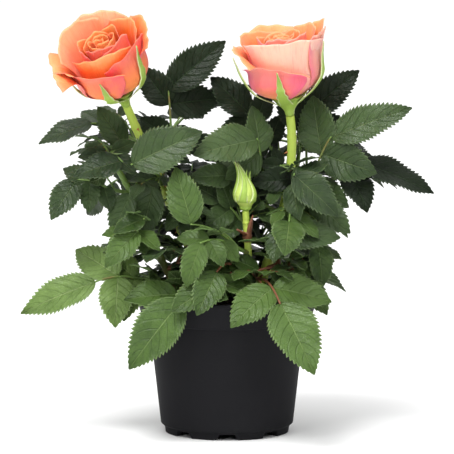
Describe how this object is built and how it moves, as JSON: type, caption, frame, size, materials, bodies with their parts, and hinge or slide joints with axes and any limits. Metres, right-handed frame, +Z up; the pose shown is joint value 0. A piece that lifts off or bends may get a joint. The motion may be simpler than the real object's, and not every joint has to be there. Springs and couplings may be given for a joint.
{
  "type": "potted miniature rose bush",
  "caption": "Small rose bush in a round nursery pot, with two open blooms, one bud and serrated compound leaves.",
  "frame": {"origin": "on the ground under the centre of the pot", "axes": "+Z up, -Y is the front, which the two blooms and the bud face, +X to the right seen from the front"},
  "size_m": [0.2687, 0.1847, 0.2766],
  "materials": {
    "pot_plastic": "black moulded plastic with a soft satin sheen",
    "soil": "rough dark brown compost",
    "green_stem": "smooth yellow-green bark, brown at the foot",
    "leaf": "semi-glossy dark green, paler below",
    "petal": "velvety coral and orange with pale peach rims",
    "calyx_green": "fresh lime green"
  },
  "bodies": {
    "root": {"pot": "pot_plastic", "soil": "soil", "bud": "calyx_green", "cane_left": "green_stem", "cane_right": "green_stem", "cane_bud": "green_stem", "cane_low_left": "green_stem", "cane_low_right": "green_stem", "cane_back_left": "green_stem", "cane_back_right": "green_stem", "bloom_left": "petal", "calyx_left": "calyx_green", "bloom_right": "petal", "calyx_right": "calyx_green", "leaves_right_low": "leaf", "leaves_left_low": "leaf", "leaves_front": "leaf", "leaves_left_far": "leaf", "leaves_left_mid": "leaf", "leaves_left_upper": "leaf", "leaves_left_head": "leaf", "leaves_left_top": "leaf", "leaves_centre": "leaf", "leaves_centre_dark": "leaf", "leaves_right_inner": "leaf", "leaves_right_near": "leaf", "leaves_upper_mid": "leaf", "leaves_right_top": "leaf", "leaves_right_shoulder": "leaf", "leaves_right_far": "leaf", "leaves_right_mid": "leaf", "leaves_right_low_back": "leaf", "leaves_top_mid": "leaf", "leaves_front_left": "leaf", "leaves_front_right": "leaf", "leaves_fill_left": "leaf", "leaves_fill_mid": "leaf", "leaves_fill_right": "leaf", "leaves_fill_low": "leaf", "leaves_between": "leaf", "leaves_back_low_left": "leaf", "leaves_back_low_right": "leaf", "leaves_back_left_mid": "leaf", "leaves_back_right_mid": "leaf", "leaves_back_left_top": "leaf", "leaves_back_right_top": "leaf", "leaves_side_left": "leaf", "leaves_side_right": "leaf", "leaves_inner_left": "leaf", "leaves_inner_right": "leaf", "leaves_low_mid": "leaf", "leaves_left_between": "leaf", "leaves_low_centre": "leaf", "leaves_right_between": "leaf", "leaves_right_under": "leaf", "leaves_upper_centre": "leaf", "leaves_back_mid_left": "leaf", "leaves_back_mid_right": "leaf", "leaves_back_low": "leaf"}
  },
  "joints": []
}
